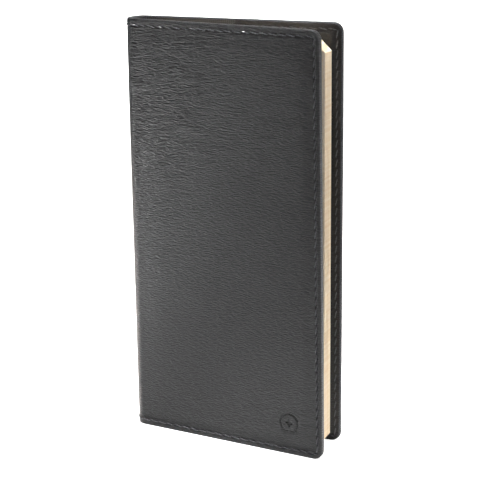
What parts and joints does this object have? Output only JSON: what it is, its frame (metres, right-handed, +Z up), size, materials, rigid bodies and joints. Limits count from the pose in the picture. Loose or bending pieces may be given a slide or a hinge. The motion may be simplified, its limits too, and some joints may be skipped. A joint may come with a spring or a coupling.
{
  "type": "pilot logbook",
  "caption": "Slim upright logbook: stitched black leather cover with rounded spine, inside pocket flaps, and a sewn page refill with a cut head corner.",
  "frame": {"origin": "bottom centre of the box round the whole book, front cover a little open", "axes": "+Z up from tail to head, +X from spine to fore-edge, +Y from front cover to back cover"},
  "size_m": [0.0914, 0.0244, 0.178],
  "materials": {
    "cover_leather": "satin grained black leather",
    "flap_leather": "satin grained black leather, thinner",
    "padding_foam": "thin closed foam",
    "cover_board": "grey millboard",
    "woven_lining": "fine ribbed weave",
    "seam_thread": "twisted black thread",
    "insert_card": "smooth card",
    "mull_gauze": "open gauze",
    "binding_glue": "flexible white glue",
    "page_paper": "uncoated cream paper",
    "sewing_thread": "white linen thread"
  },
  "bodies": {
    "spine": {"spine_leather": "cover_leather", "spine_stiffener": "cover_board", "spine_lining": "woven_lining", "spine_seam_thread": "seam_thread", "spine_mull": "mull_gauze", "spine_glue": "binding_glue", "insert_spine_card": "insert_card"},
    "front_cover": {"front_leather": "cover_leather", "front_padding": "padding_foam", "front_board": "cover_board", "front_lining": "woven_lining", "front_flap": "flap_leather", "front_seam_thread": "seam_thread", "insert_front_card": "insert_card"},
    "back_cover": {"back_leather": "cover_leather", "back_padding": "padding_foam", "back_board": "cover_board", "back_lining": "woven_lining", "back_flap": "flap_leather", "back_seam_thread": "seam_thread", "insert_back_card": "insert_card"},
    "section_1": {"section_1": "page_paper", "section_1_thread": "sewing_thread"},
    "section_2": {"section_2": "page_paper", "section_2_thread": "sewing_thread"},
    "section_3": {"section_3": "page_paper", "section_3_thread": "sewing_thread"},
    "section_4": {"section_4": "page_paper", "section_4_thread": "sewing_thread"},
    "section_5": {"section_5": "page_paper", "section_5_thread": "sewing_thread"},
    "section_6": {"section_6": "page_paper", "section_6_thread": "sewing_thread"},
    "section_7": {"section_7": "page_paper", "section_7_thread": "sewing_thread"},
    "section_8": {"section_8": "page_paper", "section_8_thread": "sewing_thread"}
  },
  "joints": [
    {"name": "front_cover_hinge", "type": "hinge", "parent": "spine", "child": "front_cover", "pos_m": [-0.04075, -0.00178, 0], "axis": [0, 0, -1], "range_deg": [-7, 163]},
    {"name": "back_cover_hinge", "type": "hinge", "parent": "spine", "child": "back_cover", "pos_m": [-0.04075, 0.01222, 0], "axis": [0, 0, 1], "range_deg": [0, 170]},
    {"name": "section_1_hinge", "type": "hinge", "parent": "spine", "child": "section_1", "pos_m": [-0.0398, 0.00242, 0], "axis": [0, 0, -1], "range_deg": [-1.12, 26.08]},
    {"name": "section_2_hinge", "type": "hinge", "parent": "spine", "child": "section_2", "pos_m": [-0.0398, 0.00322, 0], "axis": [0, 0, -1], "range_deg": [-0.84, 19.56]},
    {"name": "section_3_hinge", "type": "hinge", "parent": "spine", "child": "section_3", "pos_m": [-0.0398, 0.00402, 0], "axis": [0, 0, -1], "range_deg": [-0.56, 13.04]},
    {"name": "section_4_hinge", "type": "hinge", "parent": "spine", "child": "section_4", "pos_m": [-0.0398, 0.00482, 0], "axis": [0, 0, -1], "range_deg": [-0.28, 6.52]},
    {"name": "section_5_hinge", "type": "hinge", "parent": "spine", "child": "section_5", "pos_m": [-0.0398, 0.00562, 0], "axis": [0, 0, 1], "range_deg": [0, 6.8]},
    {"name": "section_6_hinge", "type": "hinge", "parent": "spine", "child": "section_6", "pos_m": [-0.0398, 0.00642, 0], "axis": [0, 0, 1], "range_deg": [0, 13.6]},
    {"name": "section_7_hinge", "type": "hinge", "parent": "spine", "child": "section_7", "pos_m": [-0.0398, 0.00722, 0], "axis": [0, 0, 1], "range_deg": [0, 20.4]},
    {"name": "section_8_hinge", "type": "hinge", "parent": "spine", "child": "section_8", "pos_m": [-0.0398, 0.00802, 0], "axis": [0, 0, 1], "range_deg": [0, 27.2]}
  ],
  "couplings": [
    {"joint": "section_1_hinge", "follows": "front_cover_hinge", "ratio": 0.16},
    {"joint": "section_2_hinge", "follows": "front_cover_hinge", "ratio": 0.12},
    {"joint": "section_3_hinge", "follows": "front_cover_hinge", "ratio": 0.08},
    {"joint": "section_4_hinge", "follows": "front_cover_hinge", "ratio": 0.04},
    {"joint": "section_5_hinge", "follows": "back_cover_hinge", "ratio": 0.04},
    {"joint": "section_6_hinge", "follows": "back_cover_hinge", "ratio": 0.08},
    {"joint": "section_7_hinge", "follows": "back_cover_hinge", "ratio": 0.12},
    {"joint": "section_8_hinge", "follows": "back_cover_hinge", "ratio": 0.16}
  ]
}
